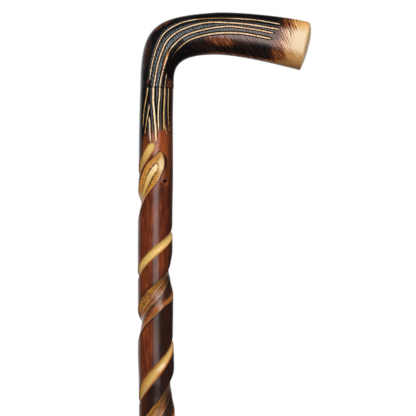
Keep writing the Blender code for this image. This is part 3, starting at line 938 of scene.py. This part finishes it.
def scorched_wood():
    material, shader, place = new_material(
        "scorched_wood", Coat_Roughness=0.14, Coat_IOR=1.45, Specular_Tint=(0.8, 0.93, 1)
    )
    x, y, z = parts(place)
    up_side = attribute(place, "up_side")

    # The strokes lean less towards the nose's top and more towards the belly
    over = sums("POWER", sums("MAXIMUM", up_side - 0.2, 0), 2) * rising(x, 0.06, 0.085)
    under = sums("POWER", sums("MINIMUM", up_side, 0), 2) * rising(x, 0.015, 0.035)
    bent = combined(x - over * 0.0048 - under * 0.003, y, z)
    stripes = placed(scorch_stripes, bent, {"Period": 0.0018, "Raggedness": 1.5})
    stripe = rising(stripes["Stripe"], 0.25, 0.75)
    streak = stripes["Streak"] - 0.5
    hatch = streak * 2.6 + (stripe - 0.5) * 0.55

    edge = ramp(up_side * 0.5 + 0.5, [(share, (end, end, end)) for share, end in CHAR_EDGE])
    bareness = rising(x - edge, -0.014, 0.014)
    for middle, size, degrees, strength in THIN_CHAR:
        patch = side_spot(place, middle, size, degrees) * (strength * 1.8)
        bareness = sums("MAXIMUM", bareness, sums("MINIMUM", patch, strength))
    open_to_hatch = rising(bareness, 0, 0.35) * 0.36 + 0.1
    open_to_hatch *= rising(bareness, 1.2, 0.75)
    open_to_hatch += rising(up_side, -0.3, -0.5) * rising(x, 0.02, 0.04) * 0.15
    # Painted reflection: the belly's lowest edge is painted a lighter brown.
    painted_belly_reflection = rising(up_side, -0.9, -0.97) * rising(x, 0.022, 0.045)
    bareness = hatch * open_to_hatch + bareness + painted_belly_reflection * 0.36
    scorch = ramp(bareness, (
        (0, CHARRED), (0.12, (0.022, 0.012, 0.009)), (0.3, (0.09, 0.023, 0.011)),
        (0.5, (0.29, 0.068, 0.016)), (0.7, (0.54, 0.22, 0.065)),
    ))
    # Painted sheen: along a band of the nose's side, the scorch is painted greyer and paler.
    sheen_greyed_scorch = ramp(bareness, (
        (0, CHARRED), (0.15, (0.045, 0.02, 0.015)), (0.35, (0.16, 0.07, 0.045)),
        (0.6, (0.42, 0.22, 0.12)), (0.8, (0.64, 0.4, 0.22)),
    ))
    nose_sheen_band = rising(up_side, -0.42, -0.2) * rising(up_side, 0.62, 0.45) * rising(x, 0.082, 0.092)
    scorch = mixed(nose_sheen_band, scorch, sheen_greyed_scorch)
    warm = rising(up_side, -0.42, -0.26) * rising(up_side, 0.48, 0.35)
    warm *= rising(up_side, -0.08, -0.14) * 0.4 + 0.6
    warm *= rising(x, 0.038, 0.07)
    scorch = mixed(warm, scorch, (0.11, 0.032, 0.012), "ADD")
    bare = ramp((up_side + streak * 0.6) * 0.5 + 0.5, (
        (0, (0.44, 0.21, 0.07)), (0.2, (0.6, 0.33, 0.11)), (0.33, (0.78, 0.57, 0.32)),
        (0.76, (0.81, 0.6, 0.34)), (0.86, (0.86, 0.5, 0.17)), (1, (0.82, 0.4, 0.11)),
    ))
    colour = mixed(rising(bareness, 0.55, 0.95), scorch, bare)

    wedge = side_spot(place, (6.9, 21.5), (1.9, 11), 20)
    flank = mixed(rising(wedge, 0.1, 0.5), CHARRED, (0.7, 0.25, 0.045))
    # The first line is duller along part of the top.
    sheen_and_dulling = rising(side_spot(place, (45, 51.8), (17, 2.2)), 0, 0.4)
    pale = mixed(sheen_and_dulling, PALE_CUT, (0.33, 0.19, 0.1))
    dim_end = rising(side_spot(place, (13.5, 25), (5, 6), 30), 0, 0.4)
    pale = mixed(dim_end, pale, (0.2, 0.15, 0.08))
    colour, singed = cut_lines_over(colour, place, stripe, pale, flank)
    colour = mixed(attribute(place, "end_face"), colour, (0.82, 0.52, 0.26))
    put(shader["Base Color"], colour)
    bare_of_film = sums("MAXIMUM", singed, rising(up_side, -0.3, -0.6))
    put(shader["Coat Weight"], bare_of_film * -0.28 + 0.3)

    # The belly's char is dull, and took little of the lacquer
    top = rising(up_side, 0.4, 0.52) * rising(x, 0.018, 0.036)
    dull = side_spot(place, (14, 27), (5, 14), 42)
    dull = sums("MAXIMUM", dull, side_spot(place, (50, 32), (22, 5), 8))
    lit = rising(x, 0.078, 0.095) * 0.12 + up_side - rising(dull, 0, 0.5) * 0.3
    polish = rising(lit, -0.48, -0.22) * (top * -0.9 + 1)
    polish *= stripe * 0.5 + 0.6
    polish *= singed * -0.75 + 1
    polish *= rising(x, 0.08, 0.096) * -0.55 + 1
    put(shader["Specular IOR Level"], polish + 0.05)
    film = placed(lacquer, place, {"Gloss Roughness": 0.22, "Unevenness": 0.2})
    put(shader["Roughness"], singed * 0.3 + film["Roughness"])
    ridged = rising(bareness, 0.75, 1) * -1.2 + 1.6
    bumped(shader, stripes["Stripe"] * ridged + film["Height"], 0.08)
    return material


handle = build_handle()
handle.data.materials.append(scorched_wood())
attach(handle, "root")
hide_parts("handle")

# Dowel
# A fluted beech dowel, glued half in the handle and half in the shaft. It is bare wood and hidden
# once the cane is together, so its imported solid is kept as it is.


def bare_beech():
    material, shader, place = new_material("bare_beech", Specular_IOR_Level=0.3)
    grain = placed(wood_grain, place, {"Fibre Width": 0.0006, "Stretch": 18})
    fibre = grain["Fibre"]
    colour = ramp(fibre, ((0.35, (0.5, 0.32, 0.17)), (0.65, (0.68, 0.49, 0.3))))
    put(shader["Base Color"], mixed(grain["Pore"] * 0.5, colour, (0.34, 0.19, 0.09)))
    put(shader["Roughness"], fibre * 0.2 + 0.5)
    bumped(shader, fibre, 0.08)
    return material


def refinish(node, material):
    """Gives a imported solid, whose shape is kept, its finish."""
    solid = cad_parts[node]
    solid.data.materials.clear()
    solid.data.materials.append(material)


refinish("handle_dowel", bare_beech())

# Ferrule washer
# A stamped steel disc dropped into the ferrule, which spreads the load of the shaft's foot. Its
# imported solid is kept.


def washer_steel():
    material, shader, place = new_material("washer_steel", Metallic=1)
    scratches = noise(turned(place, (1, 0.06, 1), (0, 0, 24)), 1800, 3, 0.7)
    tarnish = noise(place, 260, 3, 0.6)
    colour = mixed(rising(tarnish, 0.45, 0.7), (0.58, 0.58, 0.57), (0.4, 0.36, 0.32))
    put(shader["Base Color"], colour)
    put(shader["Roughness"], tarnish * 0.35 + 0.15)
    bumped(shader, scratches, 0.02)
    return material


refinish("ferrule_washer", washer_steel())

# Ferrule
# A moulded rubber tip pushed over the shaft's foot, flared at the ground, with grip rings round its
# sleeve and two grooves in its tread.

# Its profile, from the bore to the tread: (radius, height) in mm
FERRULE_PROFILE = (
    (0, 7.2), (10.2, 7.2), (10.65, 7.7), (10.65, 44.9), (10.95, 45.6), (11.5, 46),
    (12.5, 46), (13.05, 45.75), (13.3, 45.2), (13.3, 41.9), (13.15, 41.4), (12.8, 41),
    (12.85, 39.8), (12.98, 38), (14, 20), (14.3, 16), (14.6, 13), (15.05, 11.2),
    (15.8, 9.6), (16.7, 8.4), (17.7, 7.6), (18.25, 7.1), (18.6, 6.4), (18.8, 5.5), (18.8, 1),
    (18.65, 0.35), (18.2, 0), (15.8, 0), (15.6, 0.4), (15.3, 2), (13.7, 2), (13.4, 0.4),
    (13.2, 0), (10.8, 0), (10.6, 0.4), (10.3, 2), (8.7, 2), (8.4, 0.4), (8.2, 0),
    (0, 0),
)
FERRULE_SIDES = 128
GRIP_RINGS = (22, 25, 28, 31, 34)
GRIP_RING_PROUD = 0.35
GRIP_RING_HALF = 0.6


def build_ferrule():
    """Spins the profile once round, with each grip ring raised on the sleeve's slope."""
    profile = list(FERRULE_PROFILE)
    slope = [point for point in profile if 20 <= point[1] <= 38 and point[0] > 12]
    after = profile.index(slope[0]) + 1
    (top_radius, top), (foot_radius, foot) = slope
    raised = []
    for ring in reversed(GRIP_RINGS):
        for offset, proud in ((1, 0), (0.5, 0.85), (0, 1), (-0.5, 0.85), (-1, 0)):
            height = ring + offset * GRIP_RING_HALF
            sleeve = np.interp(height, (foot, top), (foot_radius, top_radius))
            raised.append((sleeve + proud * GRIP_RING_PROUD, height))
    profile[after:after] = raised
    bm = bmesh.new()
    points = [bm.verts.new((radius * MM, 0, height * MM)) for radius, height in profile]
    edges = [bm.edges.new(pair) for pair in zip(points[:-1], points[1:])]
    turn = {"axis": (0, 0, 1), "cent": (0, 0, 0), "angle": 2 * math.pi, "steps": FERRULE_SIDES}
    bmesh.ops.spin(bm, geom=points + edges, use_merge=True, **turn)

    # A spin leaves its faces in no set order, so they are put in the order of their points
    bm.verts.index_update()
    corners = {face: [vertex.index for vertex in face.verts] for face in bm.faces}
    bm.faces.sort(key=lambda face: max(corners[face]) * len(bm.verts) + min(corners[face]))
    return finished(bm, bpy.data.meshes.new("rubber_ferrule"), weld=0.01, sharp=55)


def moulded_rubber():
    material, shader, place = new_material("moulded_rubber", Specular_IOR_Level=0.35)
    bloom = noise(place, 120, 4, 0.6)
    dust = rising(parts(place)[2], 0.012, 0.001) * rising(bloom, 0.4, 0.65)
    colour = mixed(rising(bloom, 0.35, 0.75), (0.016, 0.016, 0.017), (0.03, 0.029, 0.028))
    put(shader["Base Color"], mixed(dust * 0.5, colour, (0.1, 0.09, 0.08)))
    put(shader["Roughness"], bloom * 0.25 + 0.5)
    bumped(shader, noise(place, 2600, 3, 0.6), 0.05)
    return material


ferrule = build_ferrule()
ferrule.data.materials.append(moulded_rubber())
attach(ferrule, "root")
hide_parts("ferrule")

# Floor
# A plain pale studio floor, level with the ferrule's foot.
FLOOR_RADIUS = 2.5


def ray(tree, kind):
    """1 for light rays of one kind, and 0 for others."""
    return add(tree, "LightPath", output=f"Is {kind} Ray")


def build_floor():
    bm = bmesh.new()
    bmesh.ops.create_circle(bm, cap_ends=True, segments=96, radius=FLOOR_RADIUS)
    mesh = bpy.data.meshes.new("floor")
    bm.to_mesh(mesh)
    bm.free()
    material, shader, place = new_material(
        "pale_floor", Roughness=0.9, Base_Color=(0.3, 0.3, 0.3), Emission_Color=(1, 1, 1)
    )
    seen = sums("MAXIMUM", ray(place.tree, "Camera"), ray(place.tree, "Transmission"))
    put(shader["Emission Strength"], seen * 0.7)
    mesh.materials.append(material)
    in_scene("floor", mesh)


build_floor()

# Camera
# Level with the handle's underside and a little to its nose's side, as the photograph was taken.
CAMERA_TARGET = Vector((0.0394, 0, 0.7641))
CAMERA_AZIMUTH = 4
CAMERA_DISTANCE = 0.78
VIEW_WIDTH = 0.3203
SENSOR_WIDTH = 36


def build_camera():
    data = bpy.data.cameras.new("camera")
    data.sensor_width = SENSOR_WIDTH
    data.lens = SENSOR_WIDTH * CAMERA_DISTANCE / VIEW_WIDTH
    camera = in_scene("camera", data)
    turn = math.radians(CAMERA_AZIMUTH)
    back = Vector((math.sin(turn), -math.cos(turn), 0))
    camera.location = CAMERA_TARGET + back * CAMERA_DISTANCE
    camera.rotation_euler = (-back).to_track_quat("-Z", "Y").to_euler()
    bpy.context.scene.camera = camera


build_camera()

# Studio light
# A tall soft box beside the camera with a weaker one under it, and a white room that is dim in
# front.


def soft_box(name, middle, size, power):
    """A rectangular lamp that faces the cane squarely."""
    data = bpy.data.lights.new(name, "AREA")
    data.shape = "RECTANGLE"
    data.size, data.size_y = size
    data.energy = power
    data.color = (1, 0.98, 0.97)
    lamp = in_scene(name, data)
    lamp.location = middle
    level = Vector((-middle[0], -middle[1], 0))
    lamp.rotation_euler = level.to_track_quat("-Z", "Y").to_euler()


soft_box("front_box", (0.22, -1.28, 1.35), (0.8, 1.5), 13.5)
soft_box("low_front_box", (0.22, -1.28, 0.33), (0.8, 0.5), 2.3)


def white_room():
    world = bpy.data.worlds.new("white_room")
    bpy.context.scene.world = world
    world.use_nodes = True
    tree = world.node_tree
    background = tree.nodes["Background"].inputs
    put(background["Color"], (1, 1, 1))
    way = add(tree, "TexCoord", output="Generated")
    inputs = {0: way, 1: (-0.35, 0.93, -0.12)}
    behind = add(tree, "VectorMath", inputs, "Value", operation="DOT_PRODUCT")
    mirrored = ray(tree, "Glossy") * (rising(behind, 0.5, 1) * 0.9 + 0.03)
    seen = mirrored + sums("MAXIMUM", ray(tree, "Camera"), ray(tree, "Transmission"))
    put(background["Strength"], ray(tree, "Diffuse") * 0.45 + seen)


white_room()
bpy.context.scene.view_settings.view_transform = "Standard"
